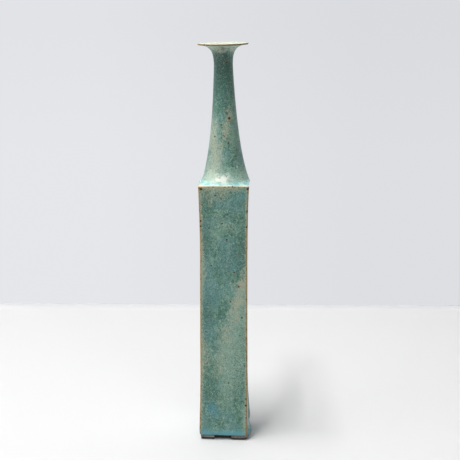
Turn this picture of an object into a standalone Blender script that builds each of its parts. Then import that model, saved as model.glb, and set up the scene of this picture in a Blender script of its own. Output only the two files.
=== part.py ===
"""A slab-built stoneware sake bottle: a tall square body, a thrown trumpet neck and a thin disc rim.

Metres, +Z up. The origin lies on the table, under the middle of the body. -Y is the front.
Four mitred wall slabs stand round a base slab and carry a square shoulder slab. Four bare clay
corner feet hold the body off the table. A thrown neck is luted to the shoulder and ends in a
thrown lip. Inside, thin coils of clay are pressed along the seams. Every joint keeps a seam gap.
"""

import math

import bmesh
import bpy
from mathutils import Vector

# Heights above the table.
TOTAL_HEIGHT = 0.3300
SHOULDER_HEIGHT = 0.2185
WAIST_HEIGHT = 0.1570
FOOT_HEIGHT = 0.0036

# Outside widths of the square body, across its flats.
FOOT_WIDTH = 0.0400
WAIST_WIDTH = 0.0385
TOP_WIDTH = 0.0408
FOOT_CURVE = 1.2  # how the width grows from the waist down: 1 is straight
TOP_CURVE = 2.4  # and from the waist up

# Clay thicknesses.
WALL = 0.0040
BASE = 0.0045
SHOULDER = 0.0042
EDGE_RADIUS = 0.0012  # the slabs' outer upright edges

# The hand-made unevenness of the foot, which fades out upwards.
SETTLE_HEIGHT = 0.0560
FOOT_TURN = math.radians(-3.0)
FOOT_SPREAD = 0.0020  # how far the back right corner has moved out
# A lump squeezed out at the foot of the right wall: place from the wall's middle to the back, and reach.
FOOT_LUMP = (
    (0.0135, -0.0002), (0.0095, -0.0008), (0.0050, 0.0004), (0.0, 0.0020),
    (-0.0055, 0.0034), (-0.0110, 0.0038), (-0.0155, 0.0031), (-0.0178, 0.0017),
)
LUMP_HEIGHT = 0.0110  # where it has run out into the wall above

# Corner feet: L-shaped pads of bare clay, set back under the walls.
FOOT_SETBACK = 0.0009
FOOT_ARM = 0.0062
FOOT_CUTOUT = 0.0150  # open width between two feet
FOOT_BEVEL = 0.0005

# Neck, measured along its own axis from the shoulder's top.
NECK_OFFSET = 0.0012
NECK_LEAN = math.radians(1.02)
NECK_FOOT_RADIUS = 0.0199
NECK_FOOT_EDGE = 0.0008  # upright edge of the neck's foot
NECK_LEVELLED = 0.0050  # height over which the lean is taken up, so that the foot sits level
NECK_FOOT_WALL = 0.0044
NECK_WALL = 0.0024
NARROW_RADIUS = 0.0076
FLARE_RADIUS = 0.0097  # the trumpet's handle point: radius, and height over the foot's edge
FLARE_RISE = 0.0239
NARROW_RUN = 0.0012  # length of the straight end below the lip
NECK_LEDGE = 0.0032  # ring of shoulder left showing inside the neck's foot

# Lip and disc rim.
LIP_HEIGHT = 0.0170
RIM_RADIUS = 0.0202
RIM_EDGE = 0.0011
RIM_ROUNDING = 0.0005
RIM_LAND = 0.0075  # width of the flat ring on top
FUNNEL_DEPTH = 0.0075  # how far the mouth narrows below the top
LIP_CURL_RADIUS = 0.0098  # handle point of the lip's underside
LIP_CURL_DROP = 0.0052  # how far below the rim the lip starts to curl out
RIM_SLOPE = 0.0006  # how much the rim thickens inwards from its edge

# Clearances and the inner coils.
SEAM = 0.0003
COIL = 0.0026  # leg of a seam coil's triangular section

# Mesh fineness.
WALL_STATIONS = 14
STATION_SPREAD = 1.6  # 1 spaces the stations evenly
EDGE_STEPS = 2
ROUND_STEPS = 48
CURVE_STEPS = 16

SIDES = ("front", "right", "back", "left")
CORNERS = (("front_left", -1, -1), ("front_right", 1, -1), ("back_right", 1, 1), ("back_left", -1, 1))

GLAZE = (0.16, 0.27, 0.22)
GLAZE_PALE = (0.33, 0.44, 0.36)
LINER = (0.24, 0.31, 0.25)
DARK_CLAY = (0.035, 0.026, 0.022)
BUFF_CLAY = (0.30, 0.22, 0.15)


def clear_scene():
    for thing in list(bpy.data.objects):
        bpy.data.objects.remove(thing, do_unlink=True)


def finish_material(name, colour, roughness):
    material = bpy.data.materials.new(name)
    material.use_nodes = True
    shader = material.node_tree.nodes["Principled BSDF"]
    shader.inputs["Base Color"].default_value = (*colour, 1.0)
    shader.inputs["Roughness"].default_value = roughness
    shader.inputs["Metallic"].default_value = 0.0
    material.diffuse_color = (*colour, 1.0)
    return material


def add_piece(name, shape, colour, roughness, smooth=False):
    """Turn a finished bmesh into a named object with a material of its own."""
    bmesh.ops.recalc_face_normals(shape, faces=shape.faces)
    mesh = bpy.data.meshes.new(name)
    shape.to_mesh(mesh)
    shape.free()
    if smooth:
        mesh.shade_smooth()
        mesh.set_sharp_from_angle(angle=math.radians(40))
    piece = bpy.data.objects.new(name, mesh)
    piece.data.materials.append(finish_material(name, colour, roughness))
    bpy.context.scene.collection.objects.link(piece)
    return piece


def loft(rings, closed=False):
    """A bmesh skin over equal rings of points, capped at both ends or joined end to end."""
    shape = bmesh.new()
    rows = [[shape.verts.new(point) for point in ring] for ring in rings]
    pairs = list(zip(rows, rows[1:]))
    if closed:
        pairs.append((rows[-1], rows[0]))
    else:
        shape.faces.new(rows[0])
        shape.faces.new(rows[-1])
    for low, high in pairs:
        for i in range(len(low)):
            j = (i + 1) % len(low)
            shape.faces.new((low[i], low[j], high[j], high[i]))
    return shape


def turned(profile):
    """A bmesh ring turned round Z from a closed outline of (radius, height) points."""
    shape = bmesh.new()
    verts = [shape.verts.new((radius, 0.0, height)) for radius, height in profile]
    edges = [shape.edges.new((verts[i - 1], verts[i])) for i in range(len(verts))]
    bmesh.ops.spin(shape, geom=verts + edges, cent=(0, 0, 0), axis=(0, 0, 1),
                   angle=math.tau, steps=ROUND_STEPS, use_merge=True)
    return shape


def bezier(points, steps):
    """Points along a cubic curve through the first and last of four (radius, height) points."""
    curve = []
    for step in range(steps + 1):
        t = step / steps
        weights = ((1 - t) ** 3, 3 * t * (1 - t) ** 2, 3 * t * t * (1 - t), t ** 3)
        curve.append(tuple(sum(w * p[k] for w, p in zip(weights, points)) for k in (0, 1)))
    return curve


def half_width(height):
    """Half of the body's outside width at a height, before the foot's unevenness."""
    if height > WAIST_HEIGHT:
        share = (height - WAIST_HEIGHT) / (SHOULDER_HEIGHT - WAIST_HEIGHT)
        width = WAIST_WIDTH + (TOP_WIDTH - WAIST_WIDTH) * share ** TOP_CURVE
    else:
        share = (WAIST_HEIGHT - height) / WAIST_HEIGHT
        width = WAIST_WIDTH + (FOOT_WIDTH - WAIST_WIDTH) * share ** FOOT_CURVE
    return width / 2


def in_body(x, y, height):
    """Where a point of the straight square body lies once the foot has turned and settled."""
    half = half_width(height)
    settle = max(0.0, 1.0 - height / SETTLE_HEIGHT) ** 2
    x += FOOT_SPREAD * settle * max(0.0, x / half) * (1 + y / half) / 2
    turn = FOOT_TURN * settle
    return Vector((
        x * math.cos(turn) - y * math.sin(turn),
        x * math.sin(turn) + y * math.cos(turn),
        height,
    ))


def square(inset, height):
    """The four corners of the body's section at a height, moved in from its outside."""
    reach = half_width(height) - inset
    return [in_body(sx * reach, sy * reach, height) for _, sx, sy in CORNERS]


def wall_ring(side, height):
    """Outline of one mitred wall slab at a height; side counts quarter turns from the front."""
    half = half_width(height)
    mitre_gap = SEAM / math.sqrt(2)
    outline = [(half - WALL - mitre_gap, half - WALL)]
    for step in range(EDGE_STEPS + 1):
        angle = math.radians(45) * (1 + step / EDGE_STEPS)
        outline.append((
            half - mitre_gap - EDGE_RADIUS * (1 - math.cos(angle)),
            half - EDGE_RADIUS * (1 - math.sin(angle)),
        ))
    left = [(-a, b) for a, b in reversed(outline)]
    if SIDES[side] == "right":
        rise = min(1.0, (height - FOOT_HEIGHT) / LUMP_HEIGHT)
        outline += [(a, half + reach * (1 - rise * rise) ** 2) for a, reach in FOOT_LUMP]
    outline += left
    quarter = ((1, 0), (0, 1), (-1, 0), (0, -1))[side]
    return [
        in_body(a * quarter[0] + b * quarter[1], a * quarter[1] - b * quarter[0], height)
        for a, b in outline
    ]


def stations(low, high):
    """Heights along a wall, closer together near the foot, where it turns most."""
    last = WALL_STATIONS - 1
    return [low + (high - low) * (i / last) ** STATION_SPREAD for i in range(last + 1)]


def walls():
    low = FOOT_HEIGHT + SEAM
    high = SHOULDER_HEIGHT - SHOULDER - SEAM
    for side, name in enumerate(SIDES):
        shape = loft([wall_ring(side, height) for height in stations(low, high)])
        add_piece(name + "_slab", shape, GLAZE, 0.42, smooth=True)


def base_slab():
    """The floor of the bottle, let in between the walls."""
    low = FOOT_HEIGHT + SEAM
    inset = WALL + SEAM
    add_piece("base_slab", loft([square(inset, low), square(inset, low + BASE)]), LINER, 0.45)


def corner_feet():
    for name, sx, sy in CORNERS:
        rings = []
        for height in (0.0, FOOT_HEIGHT):
            out = half_width(height) - FOOT_SETBACK
            inner = out - FOOT_ARM
            end = FOOT_CUTOUT / 2
            outline = ((out, out), (end, out), (end, inner), (inner, inner), (inner, end), (out, end))
            rings.append([in_body(sx * x, sy * y, height) for x, y in outline])
        foot = add_piece("foot_" + name, loft(rings), DARK_CLAY, 0.85)
        soften = foot.modifiers.new("soften", "BEVEL")
        soften.width = FOOT_BEVEL
        soften.segments = 1


def shoulder_slab():
    """The square top of the body, with the round hole under the neck."""
    rings = []
    for height in (SHOULDER_HEIGHT - SHOULDER, SHOULDER_HEIGHT):
        reach = half_width(height) - EDGE_RADIUS
        ring = []
        for quarter, (_, sx, sy) in enumerate(CORNERS):
            middle = Vector((sx * reach, sy * reach))
            for step in range(2 * EDGE_STEPS + 1):
                angle = math.radians(180 + 90 * quarter + 45 * step / EDGE_STEPS)
                point = middle + EDGE_RADIUS * Vector((math.cos(angle), math.sin(angle)))
                ring.append(in_body(point.x, point.y, height))
        rings.append(ring)
    slab = add_piece("shoulder_slab", loft(rings), GLAZE_PALE, 0.35, smooth=True)

    bpy.ops.mesh.primitive_cylinder_add(
        vertices=ROUND_STEPS, radius=NECK_FOOT_RADIUS - NECK_FOOT_WALL - NECK_LEDGE, depth=3 * SHOULDER,
        location=(NECK_OFFSET, 0, SHOULDER_HEIGHT - SHOULDER / 2))
    cutter = bpy.context.object
    cutter.name = "shoulder_hole_cutter"
    cutter.hide_render = True
    cutter.display_type = "WIRE"
    hole = slab.modifiers.new("hole", "BOOLEAN")
    hole.operation = "DIFFERENCE"
    hole.solver = "EXACT"
    hole.object = cutter


def neck_length():
    """From the shoulder's top to the seam under the lip, along the neck."""
    return TOTAL_HEIGHT - SHOULDER_HEIGHT - LIP_HEIGHT


def neck_inner_curve():
    top = neck_length() - SEAM
    narrow = NARROW_RADIUS - NECK_WALL
    return bezier((
        (NECK_FOOT_RADIUS - NECK_FOOT_WALL, SEAM),
        (FLARE_RADIUS - NECK_WALL, NECK_FOOT_EDGE + FLARE_RISE),
        (narrow, top - NARROW_RUN),
        (narrow, top),
    ), CURVE_STEPS)


def neck_outline():
    top = neck_length() - SEAM
    outer = bezier((
        (NECK_FOOT_RADIUS, NECK_FOOT_EDGE),
        (FLARE_RADIUS, NECK_FOOT_EDGE + FLARE_RISE),
        (NARROW_RADIUS, top - NARROW_RUN),
        (NARROW_RADIUS, top),
    ), CURVE_STEPS)
    return [(NECK_FOOT_RADIUS, SEAM)] + outer + neck_inner_curve()[::-1]


def rim_outline():
    low = neck_length()
    top = low + LIP_HEIGHT
    underside = top - RIM_EDGE
    throat = NARROW_RADIUS - NECK_WALL
    under = bezier((
        (NARROW_RADIUS, low),
        (NARROW_RADIUS, underside - LIP_CURL_DROP),
        (LIP_CURL_RADIUS, underside - RIM_SLOPE),
        (RIM_RADIUS - RIM_ROUNDING, underside),
    ), CURVE_STEPS)
    edge = [
        (RIM_RADIUS, underside + RIM_ROUNDING),
        (RIM_RADIUS, top - RIM_ROUNDING),
        (RIM_RADIUS - RIM_ROUNDING, top),
    ]
    funnel = bezier((
        (RIM_RADIUS - RIM_ROUNDING - RIM_LAND, top),
        (throat, top),
        (throat, top - FUNNEL_DEPTH / 2),
        (throat, top - FUNNEL_DEPTH),
    ), CURVE_STEPS // 2)
    return under + edge + funnel + [(throat, low)]


def cut_level(shape):
    """Bring the foot of a piece that will lean back to level, so that it sits on the shoulder."""
    for vert in shape.verts:
        share = max(0.0, 1.0 - vert.co.z / NECK_LEVELLED)
        vert.co.z -= share * vert.co.x * math.tan(NECK_LEAN)
    return shape


def neck_and_rim():
    axis = bpy.data.objects.new("neck_axis", None)
    axis.location = (NECK_OFFSET, 0, SHOULDER_HEIGHT)
    axis.rotation_euler = (0, -NECK_LEAN, 0)
    bpy.context.scene.collection.objects.link(axis)

    inner_foot = NECK_FOOT_RADIUS - NECK_FOOT_WALL
    inner_slope = (inner_foot - FLARE_RADIUS + NECK_WALL) / (NECK_FOOT_EDGE + FLARE_RISE)
    coil_radius = inner_foot - SEAM
    coil_outline = [
        (coil_radius - COIL, SEAM),
        (coil_radius, SEAM),
        (coil_radius - inner_slope * COIL, SEAM + COIL),
    ]
    pieces = (
        add_piece("neck", cut_level(turned(neck_outline())), GLAZE_PALE, 0.38, smooth=True),
        add_piece("rim", turned(rim_outline()), GLAZE, 0.40, smooth=True),
        add_piece("neck_seam_coil", cut_level(turned(coil_outline)), BUFF_CLAY, 0.8, smooth=True),
    )
    for piece in pieces:
        piece.parent = axis


def square_coil(name, height, upward):
    """A coil pressed round the inside of the body, where a level slab meets the walls."""
    inset = WALL + SEAM
    section = ((inset, height), (inset + COIL, height), (inset, height + upward * COIL))
    rings = [square(in_by, level) for in_by, level in section]
    add_piece(name, loft(rings, closed=True), BUFF_CLAY, 0.8)


def seam_coils():
    """Clay coils along the inner seams: round the base, under the shoulder, and up the corners."""
    base_top = FOOT_HEIGHT + SEAM + BASE
    under_shoulder = SHOULDER_HEIGHT - SHOULDER
    square_coil("base_seam_coil", base_top + SEAM, 1)
    square_coil("shoulder_seam_coil", under_shoulder - SEAM, -1)

    low = base_top + COIL + 2 * SEAM
    high = under_shoulder - COIL - 2 * SEAM
    for name, sx, sy in CORNERS:
        rings = []
        for height in stations(low, high):
            out = half_width(height) - WALL - SEAM
            outline = ((out, out), (out - COIL, out), (out, out - COIL))
            rings.append([in_body(sx * a, sy * b, height) for a, b in outline])
        add_piece("corner_coil_" + name, loft(rings), BUFF_CLAY, 0.8)


def main():
    clear_scene()
    walls()
    base_slab()
    corner_feet()
    shoulder_slab()
    neck_and_rim()
    seam_coils()


main()
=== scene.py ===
"""A slab-built stoneware sake bottle with a mottled turquoise glaze, modelled round its CAD frame.

Every glazed piece stands for the CAD solid of the same part of the bottle. It is modelled straight,
then settled into the hand-made shape of the CAD: the waisted body, its turned foot, the leaning neck.
"""

import math

import bmesh
import bpy
from bpy.props import FloatProperty, FloatVectorProperty, IntProperty, PointerProperty
from mathutils import Matrix, Vector, noise


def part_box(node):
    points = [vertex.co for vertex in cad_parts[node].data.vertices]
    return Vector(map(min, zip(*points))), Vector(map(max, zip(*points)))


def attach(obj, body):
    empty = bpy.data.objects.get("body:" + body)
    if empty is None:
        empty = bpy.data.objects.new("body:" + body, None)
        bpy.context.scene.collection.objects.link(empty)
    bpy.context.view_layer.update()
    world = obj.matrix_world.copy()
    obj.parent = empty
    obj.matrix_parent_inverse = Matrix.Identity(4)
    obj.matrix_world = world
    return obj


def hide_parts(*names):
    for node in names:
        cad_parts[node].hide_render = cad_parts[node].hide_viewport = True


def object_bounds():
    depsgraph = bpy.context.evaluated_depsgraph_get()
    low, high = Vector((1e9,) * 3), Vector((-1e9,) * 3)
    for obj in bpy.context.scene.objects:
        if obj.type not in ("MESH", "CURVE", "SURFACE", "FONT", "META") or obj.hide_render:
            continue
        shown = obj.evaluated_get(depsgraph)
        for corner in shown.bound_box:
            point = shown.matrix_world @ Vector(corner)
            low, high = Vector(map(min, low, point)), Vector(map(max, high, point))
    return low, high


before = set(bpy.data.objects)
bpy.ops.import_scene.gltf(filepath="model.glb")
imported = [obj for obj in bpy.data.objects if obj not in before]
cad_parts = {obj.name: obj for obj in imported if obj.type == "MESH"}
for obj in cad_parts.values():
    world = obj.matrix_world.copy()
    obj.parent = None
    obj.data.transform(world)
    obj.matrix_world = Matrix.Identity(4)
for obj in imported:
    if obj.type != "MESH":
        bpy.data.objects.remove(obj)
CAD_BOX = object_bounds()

bl_info = {
    "name": "Slab-built sake bottle",
    "version": (1, 0, 0),
    "blender": (4, 5, 0),
    "location": "View3D > Sidebar > Bottle",
    "description": "Models a glazed slab-built stoneware bottle piece by piece",
    "category": "Add Mesh",
}

BODY = "root"
MM = 0.001

# Places read from the CAD solids.
SHOULDER_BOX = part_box("shoulder_slab")
NECK_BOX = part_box("neck")
RIM_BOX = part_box("rim")
FOOT_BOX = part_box("foot_front_left")
BASE_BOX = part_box("base_slab")
WALL_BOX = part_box("front_slab")

SHOULDER_TOP = SHOULDER_BOX[1].z
SHOULDER_LOW = SHOULDER_BOX[0].z
TOP_HALF = (SHOULDER_BOX[1].y - SHOULDER_BOX[0].y) / 2
FOOT_TOP = FOOT_BOX[1].z
WALL_LOW = WALL_BOX[0].z
BASE_TOP = BASE_BOX[1].z
NECK_FOOT_RADIUS = (NECK_BOX[1].y - NECK_BOX[0].y) / 2
RIM_RADIUS = (RIM_BOX[1].y - RIM_BOX[0].y) / 2

# The lip is made upright, to these heights, and leans with the neck afterwards.
BOTTLE_HEIGHT = 0.3300
LIP_LENGTH = 0.0170
LIP_LOW = BOTTLE_HEIGHT - LIP_LENGTH

# How much the body's outline curves above and below its waist.
UPPER_CURVE = 2.4
LOWER_CURVE = 1.2

# The lump at the foot of the right wall: its middle, how far it runs to the front and to the back and
# how high it stands, then the dip behind it.
LUMP_PLACE = -0.0118
LUMP_RUN_FRONT = 0.0075
LUMP_RUN_BACK = 0.0140
LUMP_HEIGHT = 0.0110
DIP_PLACE = 0.0098
DIP_RUN = 0.0042
DIP_DEPTH = 0.0013
CORNER_RUN = 0.0030
TUCK_HEIGHT = 0.010

# The neck's foot: how high its luting clay is drawn out, and how soon the lean sets in.
LUTING_HEIGHT = 0.0026
LUTING_REACH = 0.30
LEVEL_HEIGHT = 0.005

# How much of an edge's radius its rounding takes off the corner, measured along each side.
ROUNDED_OFF = 0.29

# The radius of the glaze's roll along the walls' outer foot, and what counts as far from any edge.
GLAZE_ROLL = 0.0016
FAR_FROM_EDGES = 0.020

# The hole in the shoulder slab, and where the rim's flat land begins.
NECK_HOLE_RADIUS = 0.0115
LAND_RADIUS = 0.0121

SIDES = ("front", "right", "back", "left")
CORNERS = (("front_left", -1, -1), ("front_right", 1, -1), ("back_right", 1, 1), ("back_left", -1, 1))


# ---------------------------------------------------------------- sizes and colours a user may change

def length(name, description, default):
    return FloatProperty(name=name, description=description, default=default, unit="LENGTH", precision=4)


def colour(name, description, default):
    return FloatVectorProperty(
        name=name, description=description, default=default, subtype="COLOR", min=0.0, max=1.0)


class BottleSizes(bpy.types.PropertyGroup):
    waist_width: length("Waist width", "Body width where it is narrowest", 0.0385)
    waist_height: length("Waist height", "Height of the narrowest place", 0.1570)
    foot_width: length("Foot width", "Body width at the table", 0.0400)
    wall: length("Wall", "Thickness of the slabs", 0.0040)
    edge_radius: length("Edge radius", "Rounding of the body's upright edges", 0.0012)
    foot_turn: FloatProperty(
        name="Foot turn", description="How far the foot is turned against the shoulder",
        default=math.radians(-3.0), unit="ROTATION")
    settle_height: length("Settle height", "Height at which the foot's unevenness ends", 0.0560)
    foot_spread: length("Foot spread", "How far the back right corner has settled outwards", 0.0020)
    foot_lump: length("Foot lump", "Reach of the lump at the foot of the right wall", 0.0040)
    foot_tuck: length("Foot tuck", "How far the walls curve in at the foot", 0.0013)
    neck_offset: length("Neck offset", "How far right of the body's middle the neck stands", 0.0012)
    neck_lean: FloatProperty(
        name="Neck lean", description="How far the neck leans to the left",
        default=math.radians(1.02), unit="ROTATION")
    narrow_radius: length("Neck radius", "Outside radius where the neck is narrowest", 0.0076)
    neck_wall: length("Neck wall", "Thickness of the thrown neck", 0.0024)
    rim_edge: length("Rim edge", "Thickness of the disc rim at its edge", 0.0011)
    unevenness: length("Unevenness", "Depth of the hand-made waves in the slabs", 0.00013)
    turns: IntProperty(name="Round steps", description="Faces round the neck and rim", default=128)


class GlazeColours(bpy.types.PropertyGroup):
    teal: colour("Teal", "The glaze's main colour", (0.093, 0.230, 0.175))
    deep: colour("Deep teal", "Where the glaze lies dark and thick", (0.036, 0.112, 0.088))
    celadon: colour("Celadon", "Pale grey-green clouds", (0.235, 0.362, 0.285))
    beige: colour("Beige", "Dry flecks in the glaze", (0.400, 0.380, 0.270))
    cream: colour("Cream", "The palest, driest places", (0.640, 0.660, 0.520))
    blue: colour("Blue", "Where the glaze has pooled", (0.085, 0.215, 0.235))
    brown: colour("Break brown", "Where the glaze breaks thin over an edge", (0.300, 0.195, 0.062))
    iron: colour("Iron", "Specks of iron from the clay", (0.024, 0.011, 0.006))
    foot_clay: colour("Foot clay", "Bare fired clay under the foot", (0.030, 0.026, 0.024))
    coil_clay: colour("Inner clay", "Clay inside the bottle", (0.300, 0.220, 0.150))


# ---------------------------------------------------------------- the bottle's hand-made shape

def half_width(height):
    """Half of the body's outside width at a height."""
    sizes = bpy.context.scene.bottle_sizes
    waist = sizes.waist_width
    if height > sizes.waist_height:
        share = (height - sizes.waist_height) / (SHOULDER_TOP - sizes.waist_height)
        return (waist + (2 * TOP_HALF - waist) * share ** UPPER_CURVE) / 2
    share = (sizes.waist_height - height) / sizes.waist_height
    return (waist + (sizes.foot_width - waist) * share ** LOWER_CURVE) / 2


def lump(y, z, half):
    """How far the lump squeezed out at the right wall's foot stands out, with the dip behind it."""
    sizes = bpy.context.scene.bottle_sizes
    run = LUMP_RUN_FRONT if y < LUMP_PLACE else LUMP_RUN_BACK
    reach = sizes.foot_lump * math.exp(-((y - LUMP_PLACE) / run) ** 2)
    reach -= DIP_DEPTH * math.exp(-((y - DIP_PLACE) / DIP_RUN) ** 2)
    corner = min(1.0, max(0.0, (half + y) / CORNER_RUN))
    rise = min(1.0, max(0.0, (z - FOOT_TOP) / LUMP_HEIGHT))
    return reach * corner * (2 - corner) * (1 - rise * rise) ** 2


def settled(point):
    """Where a point of the straight square blank lies on the hand-made body."""
    sizes = bpy.context.scene.bottle_sizes
    x, y, z = point
    half = half_width(z)
    wave = noise.noise(Vector((x, y, z * 0.6)) * 45)
    wave += 0.5 * noise.noise(Vector((x, y, z)) * 130 + Vector((5, 1, 2)))
    tuck = max(0.0, 1 - z / TUCK_HEIGHT) ** 2
    pull = 1 + (wave * sizes.unevenness - sizes.foot_tuck * tuck) / TOP_HALF
    x *= half / TOP_HALF * pull
    y *= half / TOP_HALF * pull
    settle = max(0.0, 1 - z / sizes.settle_height) ** 2
    # Only the wall's outer skin takes the lump.
    skin = min(1.0, max(0.0, (x / half - 0.82) / 0.14))
    x += sizes.foot_spread * settle * max(0.0, x / half) * (1 + y / half) / 2
    x += lump(y, z, half) * skin
    turn = sizes.foot_turn * settle
    low, high = CAD_BOX
    return Vector((
        min(max(x * math.cos(turn) - y * math.sin(turn), low[0]), high[0]),
        min(max(x * math.sin(turn) + y * math.cos(turn), low[1]), high[1]),
        z,
    ))


def leaned(point):
    """Where a point of the upright neck lies once the neck stands on the shoulder and leans."""
    sizes = bpy.context.scene.bottle_sizes
    x, y, z = point
    rise = z - SHOULDER_TOP
    level = max(0.0, 1 - rise / LEVEL_HEIGHT)
    radius = max(0.004, math.hypot(x, y))
    if radius > NECK_FOOT_RADIUS * 0.85:
        # The luting clay is drawn out towards the slab's corners.
        drawn = LUTING_REACH * max(0.0, 1 - rise / LUTING_HEIGHT) ** 2
        squared = 1 + drawn * (2 * x * y / radius ** 2) ** 2
        x, y = x * squared, y * squared
    throwing = noise.noise(Vector((x * 20, y * 20, z * 330))) * 0.00005
    swell = 1 + noise.noise(Vector((x, y, z)) * 60) * 0.005 + throwing / radius
    local = Vector((x * swell, y * swell, rise - level * x * math.tan(sizes.neck_lean)))
    local.rotate(Matrix.Rotation(-sizes.neck_lean, 3, "Y"))
    place = local + Vector((sizes.neck_offset, 0, SHOULDER_TOP))
    low, high = (SHOULDER_BOX if rise < 0.001 else CAD_BOX)
    for axis in (0, 1):
        place[axis] = min(max(place[axis], low[axis] + 1e-5), high[axis] - 1e-5)
    return place


# ---------------------------------------------------------------- modelling helpers

def deselect_all():
    for thing in list(bpy.context.selected_objects):
        thing.select_set(False)


def make_active(piece):
    deselect_all()
    piece.select_set(True)
    bpy.context.view_layer.objects.active = piece


def add_block(name, low, high):
    """A cube primitive between two corners, with its place and size in its mesh."""
    low, high = Vector(low), Vector(high)
    deselect_all()
    bpy.ops.mesh.primitive_cube_add(size=1, location=(low + high) / 2, scale=high - low)
    piece = bpy.context.object
    piece.name = name
    piece.data.name = name
    bpy.ops.object.transform_apply(location=True, rotation=True, scale=True)
    return piece


def select_only(piece, kind, test):
    """In edit mode, select the edges or the faces that pass a test, and nothing else."""
    shape = bmesh.from_edit_mesh(piece.data)
    bpy.ops.mesh.select_mode(type=kind)
    for part in (*shape.faces, *shape.edges, *shape.verts):
        part.select = False
    for part in (shape.edges if kind == "EDGE" else shape.faces):
        if test(part):
            part.select_set(True)
    bmesh.update_edit_mesh(piece.data)


def select_edges(piece, test):
    """Select the edges whose two ends pass a test on their places."""
    select_only(piece, "EDGE", lambda edge: test(edge.verts[0].co, edge.verts[1].co))


def select_faces(piece, test):
    """Select the faces whose middle and normal pass a test."""
    select_only(piece, "FACE", lambda face: test(face.calc_center_median(), face.normal))


def near(a, b, within=1e-5):
    return abs(a - b) < within


def upright(a, b):
    return near(a.x, b.x) and near(a.y, b.y) and not near(a.z, b.z)


def move_points(piece, place):
    for vert in piece.data.vertices:
        vert.co = place(vert.co)
    piece.data.update()


def write_edge_distance(piece, measure):
    """Store on each point how far it is from the nearest edge where the glaze breaks."""
    layer = piece.data.attributes.new("edge_distance", "FLOAT", "POINT")
    layer.data.foreach_set("value", [measure(vert.co) for vert in piece.data.vertices])


def finish_piece(piece, material, node):
    """Smooth shading, the finish, and the piece's place among the CAD's bodies and nodes."""
    make_active(piece)
    bpy.ops.object.shade_smooth_by_angle(angle=math.radians(40))
    piece.data.materials.clear()
    piece.data.materials.append(material)
    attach(piece, BODY)
    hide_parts(node)


def spin_profile(name, spans, turns):
    """Turn a closed outline, drawn as Bezier spans of (radius, height) points, round the Z axis."""
    deselect_all()
    bpy.ops.curve.primitive_bezier_curve_add(enter_editmode=False)
    drawing = bpy.context.object
    drawing.name = name
    spline = drawing.data.splines[0]
    spline.bezier_points.add(len(spans) - len(spline.bezier_points))
    spline.use_cyclic_u = True
    drawing.data.dimensions = "3D"
    for i, (start, out_handle, in_handle, _) in enumerate(spans):
        before = spans[i - 1]
        knot = spline.bezier_points[i]
        knot.handle_left_type = knot.handle_right_type = "FREE"
        knot.co = (start[0], 0, start[1])
        knot.handle_left = (before[2][0], 0, before[2][1])
        knot.handle_right = (out_handle[0], 0, out_handle[1])
    spline.resolution_u = 14
    make_active(drawing)
    bpy.ops.object.convert(target="MESH")
    piece = bpy.context.object
    piece.data.name = name
    bpy.ops.object.mode_set(mode="EDIT")
    bpy.ops.mesh.select_all(action="SELECT")
    bpy.ops.mesh.remove_doubles(threshold=1e-6)
    bpy.ops.mesh.spin(steps=turns, angle=math.tau, center=(0, 0, 0), axis=(0, 0, 1))
    bpy.ops.mesh.select_all(action="SELECT")
    bpy.ops.mesh.remove_doubles(threshold=1e-6)
    bpy.ops.mesh.normals_make_consistent(inside=False)
    bpy.ops.object.mode_set(mode="OBJECT")
    return piece


def straight(start, end):
    """A straight Bezier span between two (radius, height) points."""
    third = ((end[0] - start[0]) / 3, (end[1] - start[1]) / 3)
    return (start, (start[0] + third[0], start[1] + third[1]),
            (end[0] - third[0], end[1] - third[1]), end)


# ---------------------------------------------------------------- finishes

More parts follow.
